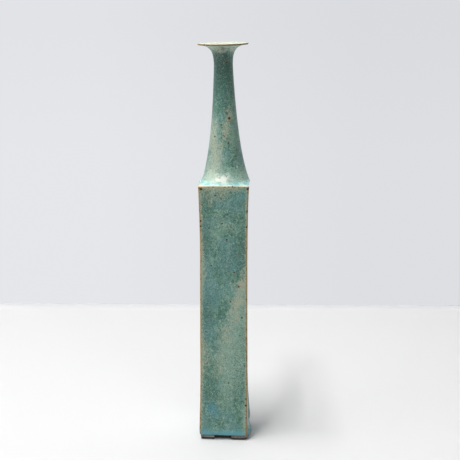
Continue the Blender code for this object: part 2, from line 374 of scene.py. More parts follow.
class NodeBoard:
    """The node tree of a material or a world, with short ways to add nodes and feed their sockets."""

    def __init__(self, owner):
        owner.use_nodes = True
        self.owner = owner
        self.tree = owner.node_tree

    def put(self, kind, inputs=(), **settings):
        node = self.tree.nodes.new(kind)
        for key, value in settings.items():
            setattr(node, key, value)
        for socket, value in inputs:
            self.feed(node.inputs[socket], value)
        return node

    def feed(self, socket, value):
        if isinstance(value, bpy.types.NodeSocket):
            self.tree.links.new(value, socket)
        elif socket.type == "RGBA":
            socket.default_value = (*value[:3], 1.0)
        else:
            socket.default_value = value

    def finish(self, **inputs):
        """Feed the shader's inputs, each named as its socket is, with _ for a space."""
        shader = self.tree.nodes["Principled BSDF"]
        for name, value in inputs.items():
            self.feed(shader.inputs[name.replace("_", " ")], value)
        return self.owner

    def math(self, operation, a, b=0.0):
        return self.put("ShaderNodeMath", ((0, a), (1, b)), operation=operation).outputs[0]

    def times(self, a, b):
        return self.math("MULTIPLY", a, b)

    def plus(self, a, b):
        return self.math("ADD", a, b)

    def vector(self, operation, a, b=(0.0, 0.0, 0.0)):
        node = self.put("ShaderNodeVectorMath", ((0, a), (1, b)), operation=operation)
        return node.outputs["Value" if operation == "LENGTH" else "Vector"]

    def parts(self, vector):
        return self.put("ShaderNodeSeparateXYZ", ((0, vector),)).outputs

    def noise(self, at, scale, detail=3.0, roughness=0.55, distortion=0.0):
        node = self.put("ShaderNodeTexNoise", (
            ("Vector", at), ("Scale", scale), ("Detail", detail), ("Roughness", roughness),
            ("Distortion", distortion)))
        return node.outputs["Fac"]

    def cells(self, at, scale):
        node = self.put("ShaderNodeTexVoronoi", (("Vector", at), ("Scale", scale)))
        return node.outputs["Distance"], node.outputs["Color"]

    def fade(self, value, low, high, to_low=0.0, to_high=1.0, kind="SMOOTHSTEP"):
        """A step: to_low where value is at or under low, to_high at or over high."""
        node = self.put("ShaderNodeMapRange", (
            (0, value), (1, low), (2, high), (3, to_low), (4, to_high)), interpolation_type=kind)
        return node.outputs[0]

    def band(self, value, rise, fall, most=1.0):
        """Nought, then up over one span of the value to most, and down over another."""
        return self.times(self.fade(value, *rise), self.fade(value, *fall, most, 0.0))

    def wander(self, value, pattern, reach):
        """A value that a 0 to 1 pattern moves up and down over a reach."""
        return self.plus(value, self.times(self.math("SUBTRACT", pattern, 0.5), reach))

    def mix(self, factor, a, b):
        return self.put("ShaderNodeMix", ((0, factor), (6, a), (7, b)), data_type="RGBA").outputs[2]

    def millimetres(self):
        """Object coordinates, counted in millimetres."""
        coords = self.put("ShaderNodeTexCoord").outputs["Object"]
        return self.vector("MULTIPLY", coords, (1000.0, 1000.0, 1000.0))

    def spot(self, at, centre, radii):
        """1 inside a soft-edged ellipsoid at a place in millimetres, 0 outside it."""
        away = self.vector("SUBTRACT", at, centre)
        scaled = self.vector("MULTIPLY", away, tuple(1 / r for r in radii))
        return self.fade(self.vector("LENGTH", scaled), 0.45, 1.55, 1.0, 0.0)

    def bump(self, height, distance, strength):
        node = self.put("ShaderNodeBump", (
            ("Height", height), ("Distance", distance), ("Strength", strength)))
        return node.outputs["Normal"]


def mixed(a, b, share):
    return tuple(x + (y - x) * share for x, y in zip(a, b))


# Clouds on the body: most lie in the glaze, a few are painted highlight, reflection and shade. What they
# add, how strongly, centre and radii in millimetres.
# The front face lies at y -20. "beige" and "deep" are stippled; the others are soft.
CLOUDS = (
    ("beige", 0.16, (-8, -20, 211), (10, 9, 7)),
    ("beige", 0.08, (6, -20, 214), (10, 9, 4)),
    ("beige", 0.12, (5, -20, 187), (4, 9, 6)),
    ("beige", 0.05, (-18, -20, 190), (4, 9, 28)),
    ("shade", 0.40, (-16, -20, 188), (6, 9, 30)),
    ("shade", 0.50, (16, -20, 160), (6, 9, 20)),
    ("shade", 0.35, (-13, -20, 110), (5, 9, 16)),
    ("shade", 0.30, (-13, -20, 45), (6, 9, 20)),
    ("beige", 0.22, (-18.5, -20, 148), (4.5, 9, 20)),
    ("beige", 0.17, (-17.5, -20, 74), (5, 9, 19)),
    ("beige", 0.17, (17.5, -20, 142), (4.5, 9, 9)),
    ("beige", 0.24, (13.5, -20, 130), (5, 9, 11)),
    ("beige", 0.22, (9.5, -20, 113), (6, 9, 10)),
    ("beige", 0.18, (3, -20, 95), (7, 9, 11)),
    ("beige", 0.15, (-4, -20, 72), (6, 9, 13)),
    ("celadon", 0.60, (13, -20, 112), (9, 9, 20)),
    ("celadon", 0.75, (6, -20, 72), (11, 9, 28)),
    ("celadon", 0.35, (1, -20, 38), (5, 9, 14)),
    ("celadon", 0.30, (-6, -20, 184), (5, 9, 14)),
    ("celadon", 0.40, (17.5, -20, 20), (3, 9, 14)),
    ("deep", 0.16, (13, -20, 165), (7, 9, 14)),
    ("deep", 0.10, (-13, -20, 112), (5, 9, 16)),
    ("deep", 0.09, (-11, -20, 45), (5, 9, 22)),
    ("deep", 0.08, (12, -20, 52), (6, 9, 26)),
    ("blue", 0.45, (8, -20, 203), (8, 9, 8)),
    ("blue", 0.40, (2, -20, 158), (8, 9, 13)),
    ("blue", 0.35, (-12, -20, 140), (5, 9, 26)),
    ("blue", 0.40, (-13, -20, 98), (5, 9, 11)),
    ("azure", 0.90, (-8.8, -20, 27.3), (4.2, 9, 7.2)),
    # Painted reflection: a pale strip down the right face, near its front edge.
    ("pale_ice_and_painted_reflection", 0.65, (21, -9, 30), (5, 7, 36)),
    # Painted shade: dark down the back right edge, and on the outer skin of the lump at the right wall's
    # foot.
    ("charcoal_and_painted_shade", 0.85, (23, 19, 26), (6, 4, 30)),
    ("charcoal_and_painted_shade", 0.80, (24.6, 0, 9), (2.4, 18, 12)),
    ("shade", 0.30, (18, -20, 184), (5, 9, 14)),
    ("celadon", 0.50, (20, 4, 120), (9, 12, 40)),
    ("beige", 0.20, (20, -3, 70), (9, 9, 26)),
    ("deep", 0.14, (-20, 6, 90), (9, 11, 34)),
    ("beige", 0.18, (-20, -4, 165), (9, 9, 22)),
    ("beige", 0.20, (-5, 20, 80), (11, 9, 30)),
    ("deep", 0.14, (8, 20, 150), (8, 9, 30)),
    ("celadon", 0.50, (-4, 20, 190), (12, 9, 14)),
    # On the neck and rim.
    ("cream", 0.80, (-1, 0, 331.4), (24, 24, 2.0)),
    ("cream", 0.55, (-1, -9, 326.5), (16, 9, 3.5)),
    # A dark grey patch under the lip.
    ("charcoal_and_painted_shade", 0.95, (-1.0, -8, 313), (6.0, 9, 13)),
    ("deep", 0.14, (0, -8, 296), (12, 10, 18)),
    ("beige", 0.22, (3, -10, 274), (3.5, 8, 6)),
    ("beige", 0.22, (1.5, -11, 261), (4, 8, 7)),
    ("celadon", 0.50, (8.5, -8, 245), (5, 9, 12)),
    ("celadon", 0.45, (6, -6, 292), (3, 8, 14)),
    ("beige", 0.24, (-6, -11, 246), (6, 9, 11)),
    ("cream", 0.40, (-9, -8, 258), (5, 9, 13)),
    ("cream", 0.35, (-8, -13, 238), (8, 9, 9)),
    ("deep", 0.10, (9, -11, 240), (5, 9, 11)),
    ("celadon", 0.45, (9, -8, 268), (5, 9, 14)),
    # Painted highlight on the front of the neck's foot.
    ("painted_ivory_highlight", 0.95, (-3, -19, 224.3), (9, 8, 4.6)),
    ("cream", 0.65, (-12, -15, 226), (8, 9, 7)),
    ("celadon", 0.60, (13, -13, 226), (8, 9, 8)),
    # Two small pale spots at the right of the neck's foot.
    ("pale_ice_and_painted_reflection", 0.70, (10.8, -15, 231.6), (1.3, 4, 1.6)),
    ("pale_ice_and_painted_reflection", 0.55, (14.4, -12, 237.5), (1.1, 4, 1.6)),
)

# The larger iron specks: centre and radius in millimetres.
SPECKS = (
    ((-18.0, -20.3, 216.4), 1.1), ((19.4, -20.1, 216.6), 1.1), ((-6.8, -20.1, 211.2), 0.7),
    ((-18.5, -19.6, 190.1), 0.8), ((-18.5, -19.5, 185.8), 0.8), ((19.0, -19.7, 198.3), 0.8),
    ((18.4, -19.5, 185.1), 0.7), ((-11.7, -19.5, 184.3), 0.6), ((7.3, -20.2, 218.3), 0.6),
    ((-17.2, -20, 203.4), 0.6), ((-1.2, -19.8, 188.2), 0.7), ((3.3, -19.8, 195.7), 0.5),
    ((2.5, -19.6, 174.6), 0.8), ((-10.2, -19.3, 153.0), 0.6), ((8.4, -19.3, 147.4), 0.7),
    ((12.3, -19.3, 135.2), 0.7), ((5.5, -19.4, 122.3), 0.6), ((-3.2, -19.4, 117.5), 0.5),
    ((15.0, -19.5, 108.7), 0.7), ((-14.6, -19.5, 96.4), 0.6), ((13.4, -19.5, 93.1), 0.5),
    ((17.2, -19.6, 66.8), 0.6), ((3.9, -19.7, 51.7), 0.6), ((18.4, -19.8, 37.5), 0.6),
    ((18.4, -19.9, 31.7), 0.9), ((2.6, -9.8, 275.9), 0.6), ((4.2, -9.0, 271.6), 1.1),
    ((-2.1, -10.9, 266.5), 0.8), ((-7.4, -9.2, 257.0), 0.8), ((3.8, -12.2, 252.2), 0.7),
    ((14.7, -11.5, 223.6), 0.9), ((-3.7, -9.1, 325.3), 0.7), ((2.2, -7.4, 315.4), 0.7),
    ((-5.6, -6.6, 320.8), 0.5), ((-3.3, -7.4, 319.1), 0.5), ((-1.6, -8.6, 323.0), 0.4),
    ((-15, -14.5, 329.5), 0.8), ((9, -18, 329.5), 0.8), ((13.5, -15, 329.5), 0.7), ((17, -8, 329.6), 0.7),
)


# Colours that the clouds use and a user has no need to change.
TINTS = {
    # Also laid on as a painted reflection on the right face.
    "pale_ice_and_painted_reflection": (0.60, 0.78, 0.78),
    # A painted highlight colour.
    "painted_ivory_highlight": (0.88, 0.88, 0.78),
    "azure": (0.066, 0.235, 0.275),
    # Also laid on as painted shade on the body's back right edge and lump.
    "charcoal_and_painted_shade": (0.026, 0.040, 0.040),
    "shade": (0.045, 0.130, 0.105),
}

# The shoulder's top and the rim's, in millimetres: the glaze's layers count their heights from them.
SHOULDER = SHOULDER_TOP / MM
MOUTH = BOTTLE_HEIGHT / MM


class GlazeBoard(NodeBoard):
    """The mottled glaze, laid on in layers over patterns that the layers share."""

    def __init__(self, owner):
        super().__init__(owner)
        self.shades = bpy.context.scene.glaze_colours
        self.rusty = mixed(self.shades.iron, self.shades.brown, 0.30)
        self.at = at = self.millimetres()
        self.across, self.depth, self.height = self.parts(at)

        # Uneven places: the same point pushed about by slow waves, so that no cloud has a clean outline.
        drift = self.put("ShaderNodeTexNoise", (("Vector", at), ("Scale", 0.17), ("Detail", 4.0)))
        push = self.vector("SUBTRACT", drift.outputs["Color"], (0.5, 0.5, 0.5))
        self.uneven = self.vector("ADD", at, self.vector("MULTIPLY", push, (14.0, 14.0, 22.0)))

        self.slow = self.noise(at, 0.075, 3.0, 0.5, 0.4)
        self.streak = self.noise(self.vector("MULTIPLY", self.uneven, (1.0, 1.0, 0.5)), 0.36, 4.0, 0.6, 0.3)
        self.stipple = self.noise(self.vector("MULTIPLY", at, (1.0, 1.0, 0.8)), 0.80, 2.0, 0.7)
        self.stipple_low = self.noise(self.vector("ADD", at, (40.0, 7.0, 90.0)), 0.62, 2.0, 0.7)
        self.grain = self.noise(at, 1.5, 2.0, 0.6)
        edge = self.put("ShaderNodeAttribute", attribute_name="edge_distance").outputs["Fac"]
        self.edge = self.times(edge, 1000.0)

    def ground(self):
        """Teal in streaks, with blue and celadon drifting through it."""
        shades = self.shades
        base = self.mix(
            self.fade(self.streak, 0.39, 0.53), mixed(shades.deep, shades.teal, 0.08), shades.teal)
        base = self.mix(
            self.fade(self.slow, 0.46, 0.60, 0.0, 0.80), base, mixed(shades.teal, shades.blue, 0.6))
        return self.mix(self.fade(self.streak, 0.52, 0.66, 0.0, 0.85), base, shades.celadon)

    def clouded(self, base):
        """The soft clouds over the ground, and how much more stipple the other clouds call for."""
        more = dict.fromkeys(("beige", "deep"), 0.0)
        for name, share, centre, radii in CLOUDS:
            mask = self.times(self.spot(self.uneven, centre, radii), share)
            if name in more:
                more[name] = self.plus(mask, more[name])
            else:
                base = self.mix(mask, base, TINTS.get(name) or getattr(self.shades, name))
        return base, more

    def shaded_neck(self, base):
        """The neck is darker under its lip, and paler at its foot, partly from thinner glaze and partly as
        painted light from above.
        """
        under_lip = self.band(self.height, (MOUTH - 54, MOUTH - 30), (MOUTH - 12, MOUTH - 4))
        base = self.mix(self.times(under_lip, 0.62), base, self.shades.deep)
        # Paler at the foot: partly thinner glaze, partly painted light where the flare turns up towards the
        # light.
        pale_and_painted_lit_foot = self.band(
            self.height, (SHOULDER - 0.7, SHOULDER + 0.1), (SHOULDER + 3.5, SHOULDER + 17.5))
        return self.mix(self.times(pale_and_painted_lit_foot, 0.55), base, (0.40, 0.60, 0.50))

    def stippled(self, base, more):
        """Beige and dark flecks, closer together inside their clouds and along the edges, and a grain."""
        shades = self.shades
        fringe = self.fade(self.wander(self.edge, self.streak, 7.0), 0.4, 3.6, 0.26, 0.0)
        beige = self.fade(self.plus(self.stipple, self.plus(more["beige"], fringe)), 0.60, 0.76, 0.0, 0.72)
        deep = self.fade(self.plus(self.stipple_low, more["deep"]), 0.56, 0.72, 0.0, 0.80)
        warm = self.mix(
            self.fade(self.slow, 0.40, 0.60), shades.beige, mixed(shades.beige, shades.celadon, 0.5))
        base = self.mix(deep, base, shades.deep)
        base = self.mix(beige, base, warm)
        base = self.mix(self.fade(self.grain, 0.54, 0.72, 0.0, 0.40), base, shades.cream)
        return self.mix(self.fade(self.grain, 0.32, 0.48, 0.60, 0.0), base, shades.deep)

    def pooled(self, base):
        """A painted highlight at the neck's foot, pale blue pooled round the foot, a pale line at the
        shoulder's edge with a painted highlight on it, blue in the roll over the body's foot; and the pool.
        """
        # Painted highlight: a pale spot on the front of the neck's foot.
        painted_glint = self.times(self.spot(self.uneven, (-2.4, -19.0, SHOULDER + 5.1), (6.5, 8.0, 3.4)), 0.65)
        base = self.mix(painted_glint, base, (0.90, 0.90, 0.82))

        ragged = self.wander(self.height, self.streak, 3.0)
        pool = self.times(
            self.fade(self.height, SHOULDER - 0.2, SHOULDER + 0.4),
            self.fade(ragged, SHOULDER + 1.8, SHOULDER + 4.1, 1.0, 0.0))
        milky = self.noise(self.vector("MULTIPLY", self.at, (1.0, 1.0, 2.5)), 0.17, 3.0, 0.6)
        deepest = self.mix(self.fade(milky, 0.42, 0.58), (0.26, 0.58, 0.60), (0.58, 0.82, 0.74))
        base = self.mix(self.times(pool, 0.72), base, deepest)

        # At the shoulder's edge, a pale line where the glaze breaks thin, with a painted highlight on it
        # that is strongest at the front.
        pale_line_and_painted_highlight = self.band(
            self.height, (SHOULDER - 0.3, SHOULDER), (SHOULDER + 0.2, SHOULDER + 0.7), 0.75)
        pale_line_and_painted_highlight = self.times(pale_line_and_painted_highlight, self.fade(self.depth, -19.0, -14.0, 1.0, 0.35))
        base = self.mix(pale_line_and_painted_highlight, base, (0.84, 0.88, 0.74))

        roll = self.times(
            self.fade(self.wander(ragged, self.streak, 9.0), 6.0, 11.5, 1.0, 0.0),
            self.fade(self.stipple, 0.42, 0.66, 0.90, 0.55))
        return self.mix(roll, base, (0.105, 0.330, 0.390)), pool

    def dry_rim(self, base):
        """The rim's top is dry and pale, with a few green pools left on it."""
        top = self.times(
            self.fade(self.height, MOUTH - 1.1, MOUTH - 0.4), self.fade(self.streak, 0.34, 0.50, 0.55, 0.90))
        return self.mix(top, base, (0.58, 0.63, 0.49))

    def broken_edges(self, base):
        """Khaki where the glaze breaks over an edge, with rust, gold and dots; and where that is."""
        shades = self.shades
        brown = self.fade(self.wander(self.edge, self.stipple, 2.4), 0.35, 1.25, 0.88, 0.0)
        # Round the back of the shoulder the glaze stays pale, and the rim's edge is darker than the others.
        behind = self.times(
            self.fade(self.height, SHOULDER - 0.9, SHOULDER - 0.1), self.fade(self.depth, -18.5, -14.0))
        brown = self.times(brown, self.math("SUBTRACT", 1.0, self.times(behind, 0.75)))
        lip = self.fade(self.height, MOUTH - 30, MOUTH - 20)
        brown = self.math("MAXIMUM", brown, self.times(lip, self.fade(self.edge, 0.50, 1.00, 0.97, 0.0)))

        rust = self.plus(
            self.fade(self.streak, 0.40, 0.58, 1.0, 0.5), self.fade(self.across, -18.0, 10.0, -0.35, 0.3))
        rust = self.put("ShaderNodeClamp", ((0, self.times(lip, rust)),)).outputs[0]
        gold = self.band(
            self.height, (SHOULDER - 1.7, SHOULDER - 0.9), (SHOULDER + 0.5, SHOULDER + 1.5), 0.9)
        broken = self.mix(gold, self.mix(rust, shades.brown, self.rusty), (0.60, 0.34, 0.08))
        base = self.mix(brown, base, broken)

        dots, _ = self.cells(self.at, 0.36)
        dots = self.times(self.fade(dots, 0.20, 0.36, 1.0, 0.0), self.fade(self.edge, 0.6, 1.2, 1.0, 0.0))
        return self.mix(self.times(dots, 0.85), base, self.rusty), brown

    def specked(self, base):
        """Fine iron specks scattered everywhere and larger ones in their places; and where they are."""
        near_speck, speck_kind = self.cells(self.at, 0.22)
        kind, _, _ = self.parts(speck_kind)
        size = self.fade(kind, 0.55, 1.0, 0.001, 0.15)
        speck = self.times(self.fade(self.math("DIVIDE", near_speck, size), 0.45, 1.0, 1.0, 0.0), 0.6)
        for centre, radius in SPECKS:
            away = self.vector("LENGTH", self.vector("SUBTRACT", self.at, centre))
            speck = self.math("MAXIMUM", speck, self.fade(away, radius * 0.6, radius * 1.45, 1.0, 0.0))
        halo = mixed(self.shades.brown, self.shades.iron, 0.35)
        base = self.mix(self.math("POWER", speck, 0.6), base, halo)
        return self.mix(self.math("POWER", speck, 2.0), base, self.shades.iron), speck

    def relief(self, speck):
        """Grain, streaks and pits, with the specks sunk in."""
        pits, _ = self.cells(self.at, 0.85)
        height = self.plus(self.times(self.grain, 0.35), self.times(self.streak, 0.8))
        height = self.plus(height, self.times(self.fade(pits, 0.0, 0.25), 0.18))
        height = self.math("SUBTRACT", height, self.times(speck, 0.25))
        return self.bump(height, 0.00018, 0.8)


def glaze_material(name):
    """Mottled turquoise glaze: stippled clouds, pools, iron specks and broken brown edges, with some painted
    highlights, reflection and shade.
    """
    board = GlazeBoard(bpy.data.materials.new(name))
    base, more = board.clouded(board.ground())
    base = board.stippled(board.shaded_neck(base), more)
    base, pool = board.pooled(base)
    base, brown = board.broken_edges(board.dry_rim(base))
    base, speck = board.specked(base)
    # Satin where the glaze is thick, drier where it is pale or thin.
    dry = board.plus(board.fade(board.stipple, 0.40, 0.65, 0.36, 0.50), board.times(brown, 0.10))
    return board.finish(
        Base_Color=base, Roughness=board.math("SUBTRACT", dry, board.times(pool, 0.14)),
        Specular_IOR_Level=0.36, Normal=board.relief(speck))


def clay_material(name, shade, grog, roughness, painted_pad_highlight=None):
    """Bare fired clay: a grainy body with grog, pits and a little blush of iron.

    Where a painted highlight colour is given, the outer faces a little above the table are painted lighter
    with it, and below that the dark clay is left as painted contact shadow.
    """
    board = NodeBoard(bpy.data.materials.new(name))
    at = board.millimetres()
    blush = board.noise(at, 0.22, 3.0)
    grain = board.noise(at, 1.7, 4.0, 0.7)
    bits, _ = board.cells(at, 1.1)
    black = (0.0, 0.0, 0.0)
    base = board.mix(board.fade(blush, 0.35, 0.65), mixed(shade, black, 0.35), shade)
    base = board.mix(board.fade(grain, 0.50, 0.72, 0.0, 0.6), base, grog)
    base = board.mix(board.fade(bits, 0.10, 0.22, 0.45, 0.0), base, mixed(shade, black, 0.7))
    if painted_pad_highlight is not None:
        # Painted highlight on the pads' outer faces above the table, with a dark strip left under it as
        # painted contact shadow.
        across, depth, height = board.parts(at)
        out = board.math("MAXIMUM", board.math("ABSOLUTE", across), board.math("ABSOLUTE", depth))
        pad_highlight_mask = board.times(board.fade(out, 17.4, 18.2), board.fade(height, 1.3, 2.6))
        pad_highlight_mask = board.times(pad_highlight_mask, board.fade(blush, 0.34, 0.58, 0.35, 0.9))
        base = board.mix(pad_highlight_mask, base, painted_pad_highlight)
    relief = board.plus(grain, board.times(board.fade(bits, 0.0, 0.3), 0.4))
    return board.finish(
        Base_Color=base, Roughness=board.fade(grain, 0.3, 0.7, roughness, roughness + 0.12),
        Specular_IOR_Level=0.3, Normal=board.bump(relief, 0.00022, 0.9))


def finish(name):
    """The named finish, made the first time that it is asked for."""
    found = bpy.data.materials.get(name)
    if found is not None:
        return found
    shades = bpy.context.scene.glaze_colours
    if name == "mottled_glaze":
        return glaze_material(name)
    if name == "dark_foot_clay":
        # The last colour is a painted highlight on the foot pads.
        return clay_material(name, tuple(shades.foot_clay), (0.08, 0.07, 0.06), 0.6, (0.26, 0.25, 0.23))
    return clay_material("inner_clay", tuple(shades.coil_clay), (0.42, 0.34, 0.25), 0.78)


# ---------------------------------------------------------------- operators, one for each kind of piece

class BOTTLE_OT_walls(bpy.types.Operator):
    """Model the four mitred wall slabs with their rolled glaze at the foot"""
    bl_idname = "bottle.walls"
    bl_label = "Wall slabs"

    def execute(self, context):
        sizes = context.scene.bottle_sizes
        half, radius = TOP_HALF, sizes.edge_radius
        blank = add_block("wall_blank", (-half, -half, WALL_LOW), (half, sizes.wall - half, SHOULDER_LOW))
        bpy.ops.object.mode_set(mode="EDIT")
        select_edges(blank, lambda a, b: upright(a, b) and near(a.y, -half))
        bpy.ops.mesh.bevel(offset=radius, segments=10, affect="EDGES")
        for sign in (-1, 1):
            bpy.ops.mesh.select_all(action="SELECT")
            bpy.ops.mesh.bisect(
                plane_co=(0, 0, 0), plane_no=(sign, 1, 0), use_fill=True, clear_outer=True)
        inside = sizes.wall - half - 1e-5

        def rolled(a, b):
            """The outer edge along the foot, round its corners too, but not the mitred ends."""
            low = near(a.z, WALL_LOW) and near(b.z, WALL_LOW)
            outer = max(a.y, b.y) < inside and not near(abs(a.x), abs(a.y), 1e-6)
            return low and (outer or max(a.y, b.y) < radius - half + 1e-6)

        select_edges(blank, rolled)
        bpy.ops.mesh.bevel(offset=GLAZE_ROLL, segments=6, affect="EDGES")
        select_edges(blank, lambda a, b: near(a.z, b.z) and near(a.y, b.y) and abs(a.x - b.x) > half)
        bpy.ops.mesh.subdivide(number_cuts=28)
        select_edges(blank, lambda a, b: upright(a, b) and abs(a.z - b.z) > half)
        bpy.ops.mesh.subdivide(number_cuts=13)
        select_edges(blank, lambda a, b: upright(a, b) and abs(a.z - b.z) > 4 * MM)
        bpy.ops.mesh.subdivide(number_cuts=11)
        bpy.ops.object.mode_set(mode="OBJECT")

        for side, name in enumerate(SIDES):
            wall = blank.copy()
            wall.data = blank.data.copy()
            wall.name = wall.data.name = name + "_wall"
            context.scene.collection.objects.link(wall)
            wall.data.transform(Matrix.Rotation(side * math.pi / 2, 4, "Z"))
            corner = half - ROUNDED_OFF * radius
            write_edge_distance(wall, lambda at: max(0.0, corner - min(abs(at.x), abs(at.y))))
            move_points(wall, settled)
            finish_piece(wall, finish("mottled_glaze"), name + "_slab")
        bpy.data.objects.remove(blank)
        return {"FINISHED"}


class BOTTLE_OT_shoulder(bpy.types.Operator):
    """Model the square shoulder slab with its softened top edge and the hole under the neck"""
    bl_idname = "bottle.shoulder"
    bl_label = "Shoulder slab"

    def execute(self, context):
        sizes = context.scene.bottle_sizes
        half = TOP_HALF
        slab = add_block("shoulder", (-half, -half, SHOULDER_LOW), (half, half, SHOULDER_TOP))
        bpy.ops.object.mode_set(mode="EDIT")
        select_edges(slab, upright)
        bpy.ops.mesh.bevel(offset=sizes.edge_radius, segments=10, affect="EDGES")
        select_edges(slab, lambda a, b: near(a.z, SHOULDER_TOP) and near(b.z, SHOULDER_TOP))
        bpy.ops.mesh.bevel(offset=0.0007, segments=4, affect="EDGES")
        # A grid: one line just inside each edge, and even ones between them.
        border = half - 0.0016
        inner = half - 0.0035
        steps = [-border, border] + [inner * (i / 6 - 1) for i in range(13)]
        for normal in ((1, 0, 0), (0, 1, 0)):
            for step in steps:
                bpy.ops.mesh.select_all(action="SELECT")
                bpy.ops.mesh.bisect(plane_co=(step, step, 0), plane_no=normal)
        select_edges(slab, lambda a, b: upright(a, b) and (a - b).length > 2 * MM)
        bpy.ops.mesh.subdivide(number_cuts=3)
        bpy.ops.object.mode_set(mode="OBJECT")

        deselect_all()
        bpy.ops.mesh.primitive_cylinder_add(
            vertices=64, radius=NECK_HOLE_RADIUS, depth=0.02,
            location=(sizes.neck_offset, 0, SHOULDER_TOP))
        drill = context.object
        make_active(slab)
        hole = slab.modifiers.new("neck_hole", "BOOLEAN")
        hole.operation = "DIFFERENCE"
        hole.object = drill
        bpy.ops.object.modifier_apply(modifier=hole.name)
        bpy.data.objects.remove(drill)

        def measure(at):
            """Along a side the nearer of top and side counts, and at a corner the corner does."""
            to_side = half - max(abs(at.x), abs(at.y))
            to_corner = half - ROUNDED_OFF * sizes.edge_radius - min(abs(at.x), abs(at.y))
            to_top = SHOULDER_TOP - at.z
            return max(0.0, min(max(to_side, to_top * 0.8), to_corner))

        write_edge_distance(slab, measure)
        move_points(slab, settled)
        finish_piece(slab, finish("mottled_glaze"), "shoulder_slab")
        return {"FINISHED"}


class BOTTLE_OT_neck(bpy.types.Operator):
    """Turn the trumpet neck and its bore in one closed outline, then lean it"""
    bl_idname = "bottle.neck"
    bl_label = "Neck"

    def execute(self, context):
        sizes = context.scene.bottle_sizes
        foot, narrow, wall = NECK_FOOT_RADIUS, sizes.narrow_radius, sizes.neck_wall
        low = SHOULDER_TOP
        bore = narrow - wall
        flare = (0.0097, low + 0.0247)
        straight_end = LIP_LOW - 0.0012
        pooled = (foot + 0.0010, low)
        cone_foot = (foot - 0.0002, low + 0.0016)
        bore_foot = (foot - 0.0044, low)
        spans = (
            (pooled, (foot + 0.0003, low + 0.0001), (foot, low + 0.0006), cone_foot),
            (cone_foot, flare, (narrow, straight_end), (narrow, LIP_LOW)),
            straight((narrow, LIP_LOW), (bore, LIP_LOW)),
            ((bore, LIP_LOW), (bore, straight_end), (flare[0] - wall, flare[1]), bore_foot),
            straight(bore_foot, pooled),
        )
        neck = spin_profile("neck_thrown", spans, sizes.turns)
        write_edge_distance(neck, lambda at: FAR_FROM_EDGES)
        move_points(neck, leaned)
        finish_piece(neck, finish("mottled_glaze"), "neck")
        return {"FINISHED"}


class BOTTLE_OT_rim(bpy.types.Operator):
    """Turn the lip and its thin disc rim, with the funnel into the throat"""
    bl_idname = "bottle.rim"
    bl_label = "Lip and rim"

    def execute(self, context):
        sizes = context.scene.bottle_sizes
        narrow, edge = sizes.narrow_radius, sizes.rim_edge
        throat = narrow - sizes.neck_wall
        top, under = BOTTLE_HEIGHT, BOTTLE_HEIGHT - edge
        out, curl = RIM_RADIUS, edge / 2
        mouth = 0.0075
        spans = (
            ((narrow, LIP_LOW), (narrow, under - 0.0052), (0.0098, under - 0.0006), (out - curl, under)),
            ((out - curl, under), (out - curl / 2, under), (out, under + curl / 2), (out, under + curl)),
            ((out, under + curl), (out, top - curl / 2), (out - curl / 2, top), (out - curl, top)),
            straight((out - curl, top), (LAND_RADIUS, top)),
            ((LAND_RADIUS, top), (throat, top), (throat, top - 0.0037), (throat, top - mouth)),
            straight((throat, top - mouth), (throat, LIP_LOW)),
            straight((throat, LIP_LOW), (narrow, LIP_LOW)),
        )
        rim = spin_profile("rim_thrown", spans, sizes.turns)

        def measure(at):
            """How far in from the rim's edge, and further for what lies on the rim's top."""
            inwards = out - math.hypot(at.x, at.y) - edge * 0.2
            return max(0.0, inwards) + 3 * max(0.0, at.z - top + edge * 0.12)

        write_edge_distance(rim, measure)
        move_points(rim, leaned)
        finish_piece(rim, finish("mottled_glaze"), "rim")
        return {"FINISHED"}


class BOTTLE_OT_feet(bpy.types.Operator):
    """Model one L-shaped pad of bare clay and set a copy under each corner"""
    bl_idname = "bottle.feet"
    bl_label = "Corner feet"

    def execute(self, context):
        out = TOP_HALF - 0.0006
        arm, end = 0.0062, 0.0075
        pad = add_block("foot_blank", (out - arm, out - arm, 0), (out, out, WALL_LOW))
        bpy.ops.object.mode_set(mode="EDIT")
        for axis in (0, 1):
            select_faces(pad, lambda middle, normal: normal[axis] < -0.99)
            step = [0, 0, 0]
            step[axis] = end - (out - arm)
            bpy.ops.mesh.extrude_region_move(TRANSFORM_OT_translate={"value": step})
        bpy.ops.mesh.select_all(action="SELECT")
        bpy.ops.mesh.bevel(offset=0.0009, segments=4, affect="EDGES")
        bpy.ops.object.mode_set(mode="OBJECT")
        # Behind the open span a recessed web of dark clay joins one pad to the next: partly a shallow cut
        # foot, partly a dark sheet standing in for the shade under the foot.
        face = out - 0.0026
        back = face - 0.0016
        lift, overlap = 0.0005, 0.001
        webs = [
            add_block("web", (0, back, lift), (end + overlap, face, WALL_LOW)),
            add_block("web", (back, 0, lift), (face, end + overlap, WALL_LOW)),
        ]
        make_active(pad)
        for web in webs:
            web.select_set(True)
        bpy.ops.object.join()
        bpy.ops.object.mode_set(mode="EDIT")
        bpy.ops.mesh.select_all(action="SELECT")
        bpy.ops.mesh.subdivide(number_cuts=2)
        bpy.ops.object.mode_set(mode="OBJECT")
        for name, sign_x, sign_y in CORNERS:
            foot = pad.copy()
            foot.data = pad.data.copy()
            foot.name = foot.data.name = name + "_pad"
            context.scene.collection.objects.link(foot)
            foot.data.transform(Matrix.Diagonal((sign_x, sign_y, 1, 1)))
            if sign_x * sign_y < 0:
                foot.data.flip_normals()
            move_points(foot, settled)
            finish_piece(foot, finish("dark_foot_clay"), "foot_" + name)
        bpy.data.objects.remove(pad)
        return {"FINISHED"}


